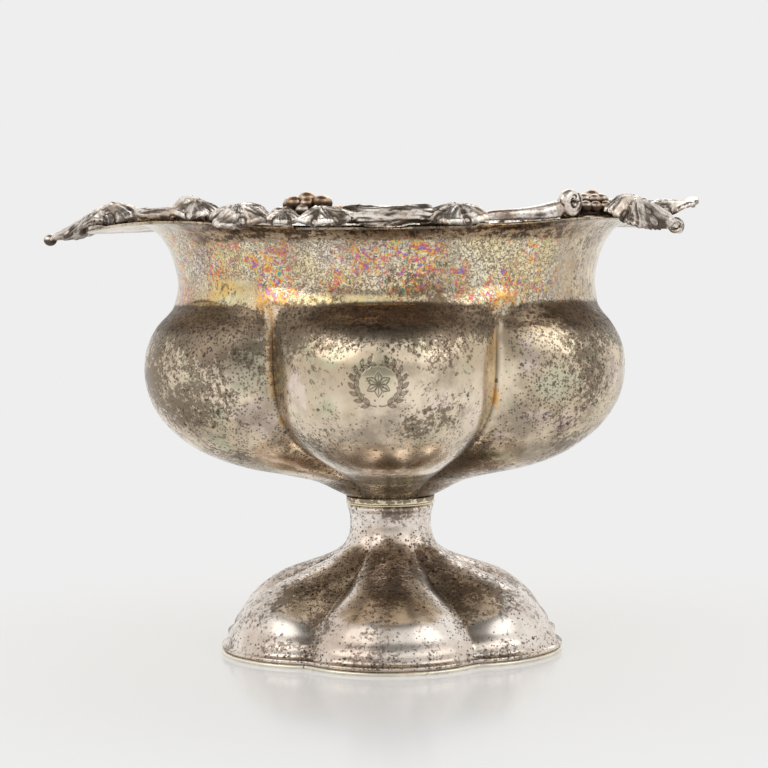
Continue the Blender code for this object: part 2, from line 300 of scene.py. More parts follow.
def add_lights():
    lights = (
        ("key_left", (-1.6, -1.2, 1.5), 1.9, 6.0),
        ("key_right", (1.7, -1.0, 1.4), 1.7, 4.0),
        ("back", (0.2, 1.9, 1.5), 1.8, 7.0),
    )
    for name, place, size, power in lights:
        data = bpy.data.lights.new(name, "AREA")
        data.shape = "DISK"
        data.size = size
        data.energy = power
        data.color = (1.0, 0.98, 0.95)
        made = new_object(name, data)
        made.location = place
        aim = np.array((0.0, 0.0, 0.12)) - np.array(place)
        aim = aim / np.linalg.norm(aim)
        made.rotation_euler = (acos(-aim[2]), 0.0, atan2(aim[1], aim[0]) - FULL / 4)


def add_floor():
    """A glossy white board that fades into the room's own white."""
    bpy.ops.mesh.primitive_circle_add(vertices=96, radius=9.0, fill_type="NGON")
    floor = bpy.context.active_object
    floor.name = "studio_floor"
    finish, n, shader = new_finish("studio_floor", metallic=0.0)
    looks = {
        "Base Color": (0.62, 0.62, 0.62, 1.0),
        "Roughness": 0.16,
        "Specular IOR Level": 0.35,
        "Emission Color": (1.0, 1.0, 1.0, 1.0),
        "Emission Strength": 0.26,
    }
    for name, value in looks.items():
        n.put(shader.inputs[name], value)
    distance = n.new("VectorMath", n.place(), operation="LENGTH")
    far = n.between(distance.outputs[1], 0.12, 0.32)
    glow = n.add("Emission", Color=BACKDROP, Strength=1.0)
    n.put(n.tree.nodes["Material Output"].inputs[0], n.blend(far, shader.outputs[0], glow))
    floor.data.materials.append(finish)


# ---- Finishes ----


def new_finish(name, metallic=1.0):
    made = bpy.data.materials.new(name)
    made.use_nodes = True
    shader = made.node_tree.nodes["Principled BSDF"]
    shader.inputs["Metallic"].default_value = metallic
    return made, Nodes(made.node_tree), shader


def dress(n, shader, colour, roughness, relief, strength, depth):
    """Gives a shader its colour, its roughness and its small relief."""
    bump = n.add("Bump", Height=relief, Strength=strength, Distance=depth)
    for name, value in (("Base Color", colour), ("Roughness", roughness), ("Normal", bump)):
        n.put(shader.inputs[name], value)


def granular(n, grain, scale, more, low, high):
    """Granular tarnish with ragged edges, dense inside patches of this scale and where more says."""
    spread = n.plus(n.noise(scale, 4.0, 0.62, shift=(6, 1, 3)), more)
    return n.between(n.plus(grain, n.times(spread, 0.90)), low, high)


def neck_films(n, colour, neck, tint):
    """Thin films on the neck: pale yellow, amber and rose, crackled with brown."""
    yellow, cream = (0.99, 0.86, 0.50), (0.98, 0.92, 0.70)
    amber, rose, brown = (0.80, 0.47, 0.20), (0.92, 0.82, 0.74), (0.17, 0.10, 0.07)
    film = n.mix(n.between(tint, 0.38, 0.58), yellow, cream)
    film = n.mix(n.between(n.noise(15, 3.0, 0.6, shift=(4, 0, 3)), 0.48, 0.62, 0.0, 0.75), film, amber)
    film = n.mix(n.between(n.noise(12, 3.0, 0.6, shift=(8, 3, 3)), 0.52, 0.66, 0.0, 0.8), film, rose)
    colour = n.mix(n.times(neck, 0.85), colour, film)
    crackle = n.math("ABSOLUTE", n.minus(n.noise(520, 3.0, 0.6, twist=1.2), 0.5))
    lines = n.between(crackle, 0.074, 0.026)
    return n.mix(n.times(lines, neck, 0.86), colour, brown)


def neck_flecks(n, colour, neck):
    """Flecks of strong colour on the neck, in patches."""
    teal, yellow, orange = (0.08, 0.40, 0.38), (0.90, 0.78, 0.24), (0.94, 0.42, 0.05)
    red, violet, blue = (0.82, 0.13, 0.08), (0.50, 0.12, 0.42), (0.12, 0.22, 0.60)
    places = (0.34, 0.41, 0.48, 0.55, 0.61, 0.68)
    fleck = n.noise(380, 2.0, 0.6, shift=(7, 2, 5), twist=0.8)
    hues = n.ramp(fleck, list(zip(places, (teal, yellow, orange, red, violet, blue))))
    patch = n.between(n.noise(40, 4.0, 0.65, shift=(1, 6, 2)), 0.44, 0.57)
    flecked = n.between(n.noise(330, 3.0, 0.6, shift=(2, 8, 1)), 0.45, 0.55)
    return n.mix(n.times(patch, flecked, neck, 0.88), colour, hues)


def bright_films_and_sheen(n, colour):
    """Bright metal on the lower front lobe and beside the grooves, partly worn metal and partly painted
    highlight; pale films just above the painted dark bands; and orange-gold in the grooves.
    """
    polished_and_sheen, straw = (0.98, 0.85, 0.68), (0.88, 0.82, 0.50)
    amber, gold = (0.90, 0.62, 0.20), (0.86, 0.44, 0.09)
    # Partly worn metal, partly painted highlight: bright metal colour where the mark says.
    rubbed_and_sheen = n.times(n.mark("rubbed_and_sheen"), n.between(n.noise(50, 4.0, 0.6, shift=(2, 2, 2)), 0.36, 0.52))
    colour = n.mix(n.times(rubbed_and_sheen, 0.70), colour, polished_and_sheen)
    pale = n.mix(n.between(n.noise(60, 3.0, 0.6), 0.40, 0.62), straw, amber)
    colour = n.mix(n.times(n.mark("pale"), 0.9), colour, pale)
    streak = n.between(n.noise(120, 3.0, 0.65, squash=0.5), 0.46, 0.60)
    return n.mix(n.times(n.mark("gold"), streak, 0.85), colour, gold)


def painted_shade_bands(n, colour, dark, grain):
    """Painted dark reflection and shade: brown-black bands, broken into streaks, on the lobe tops and under
    the lip.
    """
    black, brown = (0.095, 0.062, 0.040), (0.50, 0.36, 0.23)
    streaks = n.noise(110, 5.0, 0.7, squash=3.5)
    broken = n.plus(n.times(streaks, 0.45), n.times(grain, 0.55))
    band = n.mix(n.between(broken, 0.47, 0.53), black, brown)
    return n.mix(n.times(dark, n.between(broken, 0.54, 0.48, 0.80, 0.98)), colour, band)


def bowl_finish():
    """Warm silver under speckled sulphide, with coloured films on the neck and brown bands of painted
    reflection and shade on the lobe tops and under the lip.
    """
    dull, bright, olive, rose = (0.64, 0.52, 0.37), (0.90, 0.76, 0.58), (0.61, 0.59, 0.42), (0.90, 0.74, 0.66)
    brown, umber = (0.27, 0.21, 0.16), (0.15, 0.11, 0.075)
    black, cut = (0.05, 0.04, 0.034), (0.085, 0.055, 0.035)
    finish, n, shader = new_finish("bowl_silver_aged")
    dark, dirt, neck = n.mark("dark"), n.mark("dirt"), n.mark("neck")
    cloud, tint = n.noise(22, 4.0, 0.6), n.noise(43, 3.0, 0.55, shift=(3, 1, 2))
    colour = n.mix(n.between(cloud, 0.38, 0.60), dull, bright)
    colour = n.mix(n.between(tint, 0.52, 0.64, 0.0, 0.8), colour, olive)
    colour = n.mix(n.between(tint, 0.44, 0.36, 0.0, 0.7), colour, rose)
    colour = bright_films_and_sheen(n, neck_flecks(n, neck_films(n, colour, neck, tint), neck))

    haze = n.between(n.noise(30, 5.0, 0.68, squash=0.8, shift=(5, 5, 0)), 0.44, 0.64)
    haze = n.times(haze, n.minus(1.0, n.times(neck, 0.5)))
    colour = n.mix(n.times(haze, 0.66), colour, brown)
    grain = n.noise(400, 5.0, 0.82, squash=0.85, shift=(1, 4, 6))
    # Painted dark reflection and shade: brown-black bands where the mark 'dark' says.
    colour = painted_shade_bands(n, colour, dark, grain)
    more = n.minus(n.times(dirt, 0.16), n.times(neck, 0.10), n.times(n.mark("rubbed_and_sheen"), 0.07))
    tarnish = granular(n, grain, 27, more, 0.980, 1.045)
    colour = n.mix(n.times(tarnish, 0.80), colour, umber)

    cluster = n.between(n.noise(34, 5.0, 0.68, shift=(2, 9, 4)), 0.40, 0.64)
    crowd = n.plus(n.times(cluster, 0.44), n.times(dirt, 0.55))
    fine = n.dots(820, crowd, 0.50)
    broad = n.dots(360, n.times(crowd, 0.38), 0.40, shift=(3, 3, 3), squash=0.9)
    speckle = n.math("MAXIMUM", n.times(fine, 0.85), broad)
    speckle = n.times(speckle, n.minus(1.0, n.times(neck, 0.55)))
    colour = n.mix(n.times(speckle, 0.76), colour, black)
    colour = n.mix(n.times(n.mark("engraved"), 0.88), colour, cut)
    worn = n.plus(n.times(speckle, 0.22), n.times(haze, 0.10), n.times(dark, 0.12), n.times(tarnish, 0.12))
    dents = n.plus(n.noise(36, 2.0, shift=(9, 1, 1)), n.times(speckle, -0.04))
    dress(n, shader, colour, n.plus(worn, 0.13), dents, 0.35, 0.4 * MM)
    return finish


def foot_finish():
    """Pinkish silver with brown-black speckle, thickest near the edge, in the grooves and on top."""
    dull, bright = (0.78, 0.66, 0.57), (0.98, 0.91, 0.84)
    tan, brown = (0.44, 0.35, 0.28), (0.40, 0.31, 0.23)
    umber, black = (0.15, 0.108, 0.08), (0.045, 0.032, 0.026)
    finish, n, shader = new_finish("foot_silver_aged")
    dark = n.mark("dark")
    cloud = n.noise(28, 4.0, 0.6)
    colour = n.mix(n.between(cloud, 0.38, 0.60), dull, bright)
    haze = n.between(n.noise(38, 5.0, 0.66, shift=(5, 5, 0)), 0.46, 0.64)
    colour = n.mix(n.times(haze, 0.42), colour, tan)
    colour = n.mix(n.times(dark, 0.20), colour, brown)
    grain = n.noise(430, 5.0, 0.82, squash=1.2, shift=(1, 4, 6))
    tarnish = granular(n, grain, 36, n.times(dark, 0.085), 0.982, 1.06)
    colour = n.mix(n.times(tarnish, 0.78), colour, umber)

    cluster = n.between(n.noise(40, 5.0, 0.68, shift=(2, 9, 4)), 0.44, 0.66)
    crowd = n.plus(n.times(cluster, 0.16), n.times(dark, 0.40))
    fine = n.dots(760, crowd, 0.52, squash=1.3)
    broad = n.dots(380, n.times(crowd, 0.45), 0.42, shift=(3, 3, 3), squash=1.3)
    speckle = n.math("MAXIMUM", n.times(fine, 0.85), broad)
    colour = n.mix(n.times(speckle, 0.90), colour, black)
    worn = n.plus(n.times(speckle, 0.25), n.times(haze, 0.10), n.times(tarnish, 0.12))
    dents = n.plus(n.noise(40, 2.0, shift=(9, 1, 1)), n.times(speckle, -0.05))
    dress(n, shader, colour, n.plus(worn, 0.18), dents, 0.35, 0.4 * MM)
    return finish


def trim_finish(name, light, deep, speckle_share):
    """Paler silver for the base wire and the collar, with brown speckle that thickens where the mark 'dark'
    says: painted contact shadow along the wire's underside, and on the collar a darker band that leaves the
    bead bright as a painted highlight.
    """
    finish, n, shader = new_finish(name)
    spots = n.noise(420, 3.0, 0.6)
    colour = n.mix(n.between(n.noise(60, 3.0), 0.36, 0.62), light, tuple(0.86 * c for c in light))
    limit = n.minus(0.68, n.times(n.mark("dark"), 0.3))
    speckle = n.between(n.minus(spots, limit), -0.02, 0.03)
    colour = n.mix(n.times(speckle, speckle_share), colour, deep)
    dress(n, shader, colour, n.plus(n.times(speckle, 0.25), 0.22), n.noise(150, 2.0), 0.3, 0.15 * MM)
    return finish


def cast_finish(name, light, deep, warm):
    """Cast silver, black in its recesses and worn bright on its ridges: the mark 'relief' says which. On
    berries, beads and rods the mark also holds painted light, brighter on top and darker underneath.
    """
    finish, n, shader = new_finish(name)
    drift = n.minus(n.noise(160, 3.0, 0.6), 0.5)
    raised = n.between(n.plus(n.mark("relief"), n.times(drift, 0.55)), 0.30, 0.62)
    bright = n.mix(n.between(n.noise(70, 3.0, shift=(3, 3, 3)), 0.46, 0.64), light, warm)
    spots = n.between(n.noise(620, 3.0, 0.6), 0.56, 0.62)
    colour = n.mix(n.times(spots, 0.5), n.mix(raised, deep, bright), deep)
    roughness = n.between(raised, 0.0, 1.0, 0.50, 0.27)
    dress(n, shader, colour, roughness, n.noise(420, 3.0, 0.6), 0.45, 0.25 * MM)
    return finish


# ---- Meshes ----


def join(*parts):
    return np.concatenate(parts)


def add_piece(name, points, quads, triangles, finish, marks, slot, *nodes):
    """One shown piece, which stands for these CAD nodes and carries a value per point for each mark."""
    mesh = bpy.data.meshes.new(name)
    points = np.asarray(points, np.float32).reshape(-1, 3)
    quads, triangles = (np.asarray(f, np.int32).reshape(-1, c) for f, c in ((quads, 4), (triangles, 3)))
    corners = join(quads.ravel(), triangles.ravel())
    starts = join(np.arange(len(quads)) * 4, len(quads) * 4 + np.arange(len(triangles)) * 3)
    mesh.vertices.add(len(points))
    mesh.vertices.foreach_set("co", points.ravel())
    mesh.loops.add(len(corners))
    mesh.loops.foreach_set("vertex_index", corners)
    mesh.polygons.add(len(starts))
    mesh.polygons.foreach_set("loop_start", starts.astype(np.int32))
    mesh.update(calc_edges=True)
    mesh.validate()
    mesh.shade_smooth()
    for mark, values in marks.items():
        layer = mesh.attributes.new(mark, "FLOAT", "POINT")
        layer.data.foreach_set("value", np.broadcast_to(values, points.shape[:1]).astype(np.float32))
    mesh.materials.append(finish)
    made = new_object(name, mesh)
    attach(made, "root")
    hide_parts(*nodes)
    return made


def ring_quads(rows, sides, joined=False):
    """Quads between rows of points that each run once round; joined also joins the last row to the first."""
    row, side = np.meshgrid(np.arange(rows if joined else rows - 1), np.arange(sides), indexing="ij")
    here, up, on = row * sides, (row + 1) % rows * sides, (side + 1) % sides
    return np.stack([here + side, here + on, up + on, up + side], -1).reshape(-1, 4)


def fan(centre, first, sides, turned=False):
    """Triangles from a centre point to the row of points that starts at first."""
    side = np.arange(sides)
    a, b = first + side, first + (side + 1) % sides
    return np.stack([b, a, np.full(sides, centre)] if turned else [a, b, np.full(sides, centre)], -1)


def closed(rows, ends):
    """Points, quads and triangles of rows of points with an end point beyond the first row and the last."""
    sides, count = rows.shape[1], rows.shape[0] * rows.shape[1]
    caps = join(fan(count, 0, sides, True), fan(count + 1, count - sides, sides))
    return join(rows.reshape(-1, 3), np.reshape(ends, (2, 3))), ring_quads(len(rows), sides), caps


def smooth_rows(keys, shares):
    """Rows at these shares of the way along smooth curves through keys, an array (key, side, value)."""
    gaps = np.linalg.norm(np.diff(keys.mean(1), axis=0), axis=1)
    at = join([0.0], np.cumsum(gaps))
    wide = gaps[:, None, None]
    slopes = np.diff(keys, axis=0) / wide
    inner = (slopes[:-1] * wide[1:] + slopes[1:] * wide[:-1]) / (wide[:-1] + wide[1:])
    tangents = join(slopes[:1], inner, slopes[-1:])
    place = np.asarray(shares) * at[-1]
    k = np.clip(np.searchsorted(at, place, side="right") - 1, 0, len(gaps) - 1)
    t, h = ((place - at[k]) / gaps[k])[:, None, None], wide[k]
    return (
        keys[k] * (1 + 2 * t) * (1 - t) ** 2
        + tangents[k] * h * t * (1 - t) ** 2
        + keys[k + 1] * t * t * (3 - 2 * t)
        + tangents[k + 1] * h * t * t * (t - 1)
    )


def step(value, low, high):
    share = np.clip((value - low) / (high - low), 0.0, 1.0)
    return share * share * (3 - 2 * share)


def band(value, *edges):
    """1 between two fades: it rises from the first edge to the second and falls from the third, all in mm."""
    low, full, fall, gone = (edge * MM for edge in edges)
    return step(value, low, full) * step(value, gone, fall)


def bell(value, middle, width):
    return np.exp(-(((value - middle) / width) ** 2))


def round_ends(t, power):
    """1 along a rod, closing at both of its ends."""
    return np.sqrt(np.clip(1 - np.abs(2 * t - 1) ** power, 0.02, 1))


def around(radius, angle, height):
    """Points at these angles, counted from the front towards +X."""
    radius, angle, height = np.broadcast_arrays(radius, angle, height)
    return np.stack([radius * np.sin(angle), -radius * np.cos(angle), height], -1)


def groove_distance(angle):
    """Angle to the nearest groove."""
    pitch = FULL / LOBES
    return pitch / 2 - np.abs((angle + pitch / 2) % pitch - pitch / 2)


def arc_share(angle, roundness, soft=radians(0.2)):
    """1 on a lobe's crown and 0 in a groove, along the arc between them, softened in the groove."""
    half = FULL / LOBES / 2

    def radius(off):
        across = roundness * np.sin(off)
        return roundness * np.cos(off) + np.sqrt((1 - roundness) ** 2 - across**2)

    away = np.sqrt(groove_distance(angle) ** 2 + soft**2) - soft
    groove = radius(half)
    return (radius(half - np.minimum(away, half)) - groove) / (1 - groove)


def side_angles(spacing, *dense):
    """Angles round the object, closer together in the grooves and within each (low, high, spacing)."""
    pitch, groove_half, least = 360.0 / LOBES, 1.8, 0.05
    found = [np.arange(0.0, 360.0, spacing)]
    around_groove = np.linspace(-groove_half, groove_half, 15)
    found += [groove + around_groove for groove in np.arange(pitch / 2, 360.0, pitch)]
    found += [np.arange(low, high, gap) for low, high, gap in dense]
    angles = np.sort(join(*found) % 360.0)
    return np.radians(angles[join([True], np.diff(angles) > least)])


def grid_normals(points):
    along = np.gradient(points, axis=0)
    across = np.roll(points, -1, 1) - np.roll(points, 1, 1)
    normals = np.cross(across, along)
    return normals / np.maximum(np.linalg.norm(normals, axis=-1, keepdims=True), 1e-12)


# ---- The lip, which the border stands on ----


def lip_dip(angle):
    return LIP_DIP * np.cos(angle) ** 2


def lip_start():
    share, height = NECK_SECTION[-1]
    return NECK_RADIUS + share * FLARE, SHOULDER + height * NECK_HEIGHT


def lip_surface(angle, radius):
    start, level = lip_start()
    out = radius - start
    rise = START_SLOPE * TURN_OVER * (1 - np.exp(-out / TURN_OVER))
    return level + rise - FALL * out - FALL_GROWTH * out**2 - lip_dip(angle)


def seat(angle, radius):
    """Height that the castings stand at."""
    on = np.maximum(radius, LIP_RADIUS + SEAT_FROM_LIP)
    out = on - lip_start()[0]
    slope = START_SLOPE * np.exp(-out / TURN_OVER) - FALL - 2 * FALL_GROWTH * out
    return lip_surface(angle, on) + SHEET * np.sqrt(1 + slope**2) + CAST_GAP


def lip_edge(angle):
    """Radius of the lip's edge, which is drawn out to the left and the right."""
    return LIP_RADIUS + LIP_REACH * np.sin(angle) ** 6


# ---- Sheet work ----


def make_base_wire(finish):
    """The lobed wire under the foot, with its butt joint in the front left groove."""
    half = WIRE_WIDTH / 2
    joint, opening = radians(-31.0), radians(0.22)
    turns = np.linspace(joint + opening, joint + FULL - opening, 720)
    curve = np.radians(np.linspace(-90, 90, 11))
    out = join([-half, -half], -half + 2 * half * np.cos(curve) ** 0.6, [-half])
    height = WIRE_HEIGHT * join([0.7, 0.0], 0.5 + 0.5 * np.sin(curve), [1.0])
    lobe, groove = FOOT_RADIUS - half * 0.8, FOOT_GROOVE_RADIUS - half * 0.8
    middle = groove + (lobe - groove) * arc_share(turns, FOOT_LOBE)
    rows = around(middle[:, None] + out[None, :], turns[:, None], height[None, :])
    points, quads, caps = closed(rows, rows[[0, -1]].mean(1))
    quads, caps = quads[:, ::-1], caps[:, ::-1]
    # Painted contact shadow: the wire's lowest half millimetre, where it meets the floor, is marked dark.
    low = step(points[:, 2], 0.5 * MM, 0.0) * 0.6
    add_piece("base_wire", points, quads, caps, finish, {"dark": low}, "wire_silver", "foot_base_wire")


def pedestal_dark(height, angles):
    """How dark the foot is: round its edge, in its grooves, over its lobes and on its right flank."""
    turn, away = np.degrees(angles)[None, :], np.degrees(groove_distance(angles))[None, :]
    edge = step(height, 15 * MM, 4 * MM)
    crease = step(away, 9.0, 0.5) * step(height, 58 * MM, 44 * MM)
    line = 1.6 * bell(away, 0.0, 0.7) * step(height, 54 * MM, 46 * MM)
    top = band(height, 24, 36, 49, 60)
    flank = bell(turn, 60.0, 22.0) * step(height, 62 * MM, 50 * MM)
    stem = step(height, 46 * MM, 52 * MM)
    dark = 0.55 * edge + 0.60 * np.maximum(crease, line) + 0.70 * top + 0.22 * flank + 0.06 * stem
    return np.clip(dark, 0, 1)


def make_pedestal(finish):
    bottom = WIRE_HEIGHT + GAP + SHEET
    rise = FOOT_HEIGHT - bottom
    angles = side_angles(1.0)
    share = arc_share(angles, FOOT_LOBE, radians(0.8))
    rows = [(a * FOOT_RADIUS, b * FOOT_GROOVE_RADIUS, h) for a, b, h in FOOT_SECTION]
    rows += [(a * STEM_RADIUS, b * STEM_RADIUS, h) for a, b, h in STEM_SECTION]
    keys = [np.stack([b + (a - b) * share, np.full_like(share, bottom + h * rise)], -1) for a, b, h in rows]
    found = smooth_rows(np.array(keys), np.linspace(0, 1, 150))
    outer = around(found[..., 0], angles[None, :], found[..., 1])
    inner = (outer - SHEET * grid_normals(outer))[::3][::-1]
    inner[-1, :, 2] = outer[0, :, 2] - SHEET
    inner[..., 2] = np.minimum(inner[..., 2], FOOT_HEIGHT)
    points = join(outer, inner)
    dark = join(pedestal_dark(outer[..., 2], angles), np.full(inner.shape[:2], 0.45))
    quads = ring_quads(len(points), len(angles), joined=True)
    add_piece("pedestal", points, quads, [], finish, {"dark": dark.ravel()}, "foot_silver", "foot_pedestal")


def make_collar(finish):
    """A turned band with a bead along its lower edge; the band above the bead is speckled darker, which
    leaves the bead bright as a painted highlight.
    """
    inner, outer = STEM_RADIUS + GAP, STEM_RADIUS + COLLAR_WIDTH
    low, top = FOOT_HEIGHT - COLLAR_HEIGHT, FOOT_HEIGHT
    bead = 0.55 * MM
    curve = np.radians(np.linspace(80, -100, 9))
    waist = outer - np.array([0.35, 0.1, 0.25, 0.42, 0.5]) * MM
    radius = join([inner], waist, outer - bead + bead * np.cos(curve), [outer - MM, inner])
    drop = top - np.array([0.0, 0.0, 0.3, 1.2, 1.9]) * MM
    height = join(drop, [low + 2.2 * bead], low + bead + bead * np.sin(curve), [low, low])
    angles = np.linspace(0, FULL, 180, endpoint=False)
    points = around(radius[:, None], angles[None, :], height[:, None])
    quads = ring_quads(len(radius), len(angles), joined=True)[:, ::-1]
    # Painted highlight: the band above the bead is marked dark and the bead is left bright.
    dark = np.repeat(step(height, low + 1.0 * MM, low + 1.6 * MM) * 0.8, len(angles))
    add_piece("collar", points, quads, [], finish, {"dark": dark}, "collar_silver", "foot_collar")


def bowl_keys(angles):
    """Radius and height of the bowl's outside at each key row and angle."""
    share = arc_share(angles, BELLY_LOBE)
    seat_radius = STEM_RADIUS + COLLAR_WIDTH - 0.5 * MM
    rows = [(seat_radius, BOWL_BASE, seat_radius, BOWL_BASE)]
    for lobe, rise, groove, groove_rise in BELLY_SECTION:
        level, groove_level = BOWL_BASE + rise * BELLY_HEIGHT, BOWL_BASE + groove_rise * BELLY_HEIGHT
        rows.append((lobe * BELLY_RADIUS, level, groove * BELLY_GROOVE_RADIUS, groove_level))
    for flared, height in NECK_SECTION:
        radius, level = NECK_RADIUS + flared * FLARE, SHOULDER + height * NECK_HEIGHT
        rows.append((radius, level, radius, level))
    keys = []
    for lobe_radius, lobe_height, groove_radius, groove_height in rows:
        height = groove_height + (lobe_height - groove_height) * share
        risen = np.clip((height - SHOULDER) / NECK_HEIGHT, 0.0, 1.0)
        radius = groove_radius + (lobe_radius - groove_radius) * share
        keys.append(np.stack([radius, height - lip_dip(angles) * risen**2], -1))
    start = lip_start()[0]
    tongue = lip_edge(angles) - LIP_RADIUS
    for plain, drawn in ((0.25, 0.06), (0.6, 0.16), (1.0, 0.36), (1.0, 0.64), (1.0, 1.0)):
        radius = start + plain * (LIP_RADIUS - start) + drawn * tongue
        keys.append(np.stack([radius, lip_surface(angles, radius)], -1))
    return np.array(keys)


def ornament_lines():
    """Points along the engraved lines: a wreath of two leafy branches round a six-petalled flower."""
    lines = []
    turn = np.linspace(0, 1, 60)

    def pointed_leaf(x, y, way, length, width):
        rib = np.linspace(0.1, 0.8, 30)
        side = np.sin(np.pi * turn) * width
        along, side = join(turn, turn[::-1], rib) * length, join(side, -side[::-1], 0 * rib)
        ahead, aside = cos(way), sin(way)
        lines.append(np.stack([x + along * ahead - side * aside, y + along * aside + side * ahead], -1))

    ring_x, ring_y = 10.6 * MM, 10.0 * MM
    for mirror in (-1, 1):
        bend = np.radians(np.linspace(-84, 62, 160))
        lines.append(np.stack([mirror * ring_x * np.cos(bend), ring_y * np.sin(bend)], -1))
        for place in np.radians(np.arange(-68, 75, 19)):
            for lean in (-0.62, 0.62):
                x, y = mirror * ring_x * cos(place), ring_y * sin(place)
                way = place + pi / 2 + lean
                way = way if mirror > 0 else pi - way
                pointed_leaf(x, y, way, 3.9 * MM, 0.75 * MM)
    for petal in range(6):
        pointed_leaf(0, 0, radians(90 + 60 * petal), 5.6 * MM, 1.5 * MM)
    circle = np.linspace(0, FULL, 60)
    lines.append(np.stack([1.2 * MM * np.cos(circle), 1.2 * MM * np.sin(circle)], -1))
    return join(*lines)


def engraved(points):
    """How deep the ornament's lines are cut at each point, from 0 to 1."""
    flat = points.reshape(-1, 3)
    x, z = flat[:, 0] - ORNAMENT_X, flat[:, 2] - ORNAMENT_Z
    near = (np.abs(x) < ORNAMENT_HALF + MM) & (np.abs(z) < ORNAMENT_HALF + MM) & (flat[:, 1] < -80 * MM)
    spots = np.stack([x[near], z[near]], -1)
    parts = np.array_split(ornament_lines(), 12)
    nearest = np.min([((spots[:, None] - part) ** 2).sum(-1).min(1) for part in parts], axis=0)
    depth = np.zeros(len(flat))
    depth[near] = np.exp(-nearest / ENGRAVED_WIDTH**2)
    return depth.reshape(points.shape[:2])


def bowl_shell(angles):
    """The bowl's outside, its inside, which of the outside's rows that repeats, and the engraving's depth."""
    keys = bowl_keys(angles)
    length = np.linalg.norm(np.diff(keys.mean(1), axis=0), axis=1).sum()
    trial = np.linspace(0, 1, 800)
    front = smooth_rows(keys, trial)[:, 0]
    up = front[:, 1] < BOWL_BASE + 0.9 * BELLY_HEIGHT
    heights = np.arange(ORNAMENT_Z - ORNAMENT_HALF - MM, ORNAMENT_Z + ORNAMENT_HALF + MM, 0.22 * MM)
    shares = np.sort(join(np.linspace(0, 1, 170), np.interp(heights, front[up, 1], trial[up])))
    shares = shares[join([True], np.diff(shares) > 0.1 * MM / length)]
    found = smooth_rows(keys, shares)
    outer = around(found[..., 0], angles[None, :], found[..., 1])
    normals = grid_normals(outer)
    coarse = np.unique(join(np.arange(0, len(shares), 4), [len(shares) - 1]))[::-1]
    inner = (outer - SHEET * normals)[coarse]
    cut = engraved(outer)
    return outer - normals * (cut * ENGRAVED_DEPTH)[..., None], inner, coarse, cut


def bowl_marks(outer, angles, cut):
    """The value from 0 to 1 of each mark that the bowl's finish reads, at each point of its outside."""
    height, radius = outer[..., 2], np.hypot(outer[..., 0], outer[..., 1])
    share = arc_share(angles, BELLY_LOBE)[None, :]
    away = np.degrees(groove_distance(angles))[None, :]
    turn = np.degrees(np.angle(np.exp(1j * angles)))[None, :]
    band_top = BAND_TOP + BAND_ARCH * step(share, 0.0, 0.45)
    above = height - band_top

    # Painted dark reflection and shade: bands on the lobe tops and, on the front, under the lip; the mark is
    # also a little darker towards the bottom of the belly.
    shoulder = step(height, *BAND_FADE) * step(height, band_top, band_top - MM) * step(share, 0.0, 0.10)
    front = step(np.cos(angles), 0.45, 0.72)[None, :]
    under_lip = step(height, *UNDER_LIP_FADE) * step(radius, 105 * MM, 107 * MM) * front
    lower = step(height, 93 * MM, 83 * MM)
    dark = np.clip(shoulder + under_lip + 0.20 * lower, 0, 1)

    tops = band(height, 144, 160, 170, 173) * step(share, 0.0, 0.3)
    creases = step(away, 10.0, 2.0) * step(height, 126 * MM, 98 * MM)
    flanks = bell(np.abs(turn), 42.0, 9.0) * band(height, 110, 124, 150, 162)
    dirt = np.clip(np.clip(tops + 0.8 * creases + 0.4 * lower, 0, 1) + 0.60 * flanks, 0, 1)

    patch = bell(turn, -45.0, 9.0) * band(above, -1, 1, 9, 13)
    strip = np.exp(-(((turn + 12) / 11.0) ** 4)) * band(above, -1, 0.5, 2.5, 5)
    pale = np.maximum(patch, strip)
    right = step(np.sin(angles), 0.70, 0.86)[None, :]
    neck = band(height, 168, 171, 205, 209) * (1 - shoulder) * (1 - 0.7 * right) * (1 - 0.8 * pale)
    heads = step(away, 9.0, 1.0) * band(height, 163, 168, 173, 179)
    gold = np.maximum(step(away, 1.7, 0.3) * band(height, 103, 116, 172, 178), heads)

    # Partly worn metal, partly painted highlight: bright on the lower front lobe and in thin lines just
    # beside each groove.
    sunk = band(height, 84, 96, 160, 170)
    lobe = step(np.abs(turn), 27.0, 20.0) * band(height, 88, 98, 120, 142)
    rubbed_and_sheen = np.maximum(lobe, 0.9 * bell(away, 1.05, 0.30) * sunk)
    lines = np.maximum(cut, 0.75 * bell(away, 0.0, 0.38) * sunk)
    names = ("dark", "dirt", "neck", "gold", "pale", "rubbed_and_sheen", "engraved")
    return dict(zip(names, (dark, dirt, neck, gold, pale, rubbed_and_sheen, lines)))


def make_bowl(finish):
    half = degrees(ORNAMENT_HALF / BELLY_RADIUS) + 0.4
    middle = degrees(ORNAMENT_X / BELLY_RADIUS)
    angles = side_angles(1.0, (middle - half, middle + half, 0.1))
    outer, inner, coarse, cut = bowl_shell(angles)
    marks = bowl_marks(outer, angles, cut)
    # The raised body sits a little to the left of the foot
    height = outer[..., 2]
    lean = BELLY_LEAN * step(height, 82 * MM, 108 * MM) * (1 - 0.6 * step(height, 158 * MM, 178 * MM))
    outer[..., 0] += lean
    inner[..., 0] += lean[coarse]
    ends = [[0, 0, BOWL_BASE], [0, 0, inner[-1, :, 2].mean()]]
    points, quads, caps = closed(join(outer, inner), ends)
    inside = {"dark": 0.1, "dirt": 0.2, "neck": 0.15}
    values = {
        mark: join(value.ravel(), np.full(len(points) - value.size, inside.get(mark, 0.0)))
        for mark, value in marks.items()
    }
    add_piece("bowl", points, quads, caps, finish, values, "bowl_silver", "bowl_body")


# ---- Cast border ----


